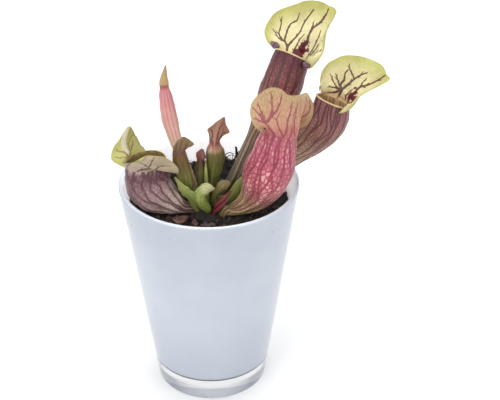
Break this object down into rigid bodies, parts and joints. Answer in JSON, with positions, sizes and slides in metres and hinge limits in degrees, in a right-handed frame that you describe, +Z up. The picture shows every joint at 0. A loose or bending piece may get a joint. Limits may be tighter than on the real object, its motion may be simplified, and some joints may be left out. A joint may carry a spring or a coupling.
{
  "type": "potted pitcher plant",
  "caption": "Potted pitcher plant: hooded tubular leaves rising from a crown in dark potting mix, in a tapered glass pot with a white-lacquered inside and a thick clear base.",
  "frame": {"origin": "centre of the pot's flat underside", "axes": "+Z up along the pot's axis, +Y towards the back, +X towards the side where the tall pitchers lean"},
  "size_m": [0.1818, 0.1343, 0.2564],
  "materials": {
    "pot_glass": "clear polished glass, lacquered bluish white inside above a clear base",
    "potting_mix": "moist dark peat and coir",
    "crown": "brown leaf bases, matt",
    "tall_leaf": "waxy leaf, wine-purple tube and yellow-green hood with dark veins",
    "right_leaf": "waxy leaf, wine-purple tube and yellow-green hood with dark veins",
    "front_leaf": "waxy leaf, raspberry tube with pale cells, tan hood with crimson veins",
    "left_leaf": "waxy leaf, mauve tube with dark veins, yellow-green and tan hood",
    "spear_leaf": "waxy pink closed leaf with a tan tip",
    "olive_leaf": "waxy olive green leaf flushed with red",
    "dark_leaf": "waxy dark olive and purple leaf",
    "green_leaf": "waxy light green leaf",
    "red_leaf": "waxy crimson shoot",
    "bark": "rough reddish-brown bark",
    "dry_scrap": "dry mauve-grey leaf scrap"
  },
  "bodies": {
    "root": {"glass_pot": "pot_glass", "potting_mix": "potting_mix", "crown": "crown", "tall_pitcher": "tall_leaf", "right_pitcher": "right_leaf", "front_pitcher": "front_leaf", "left_pitcher": "left_leaf", "spear_pitcher": "spear_leaf", "olive_pitcher": "olive_leaf", "middle_pitcher": "olive_leaf", "dark_pitcher": "dark_leaf", "green_blade": "green_leaf", "squat_pitcher": "green_leaf", "short_pitcher": "olive_leaf", "pale_blade": "green_leaf", "broad_blade": "green_leaf", "red_shoot": "red_leaf", "bark_chip": "bark", "bark_sliver": "bark", "leaf_scrap": "dry_scrap"}
  },
  "joints": []
}
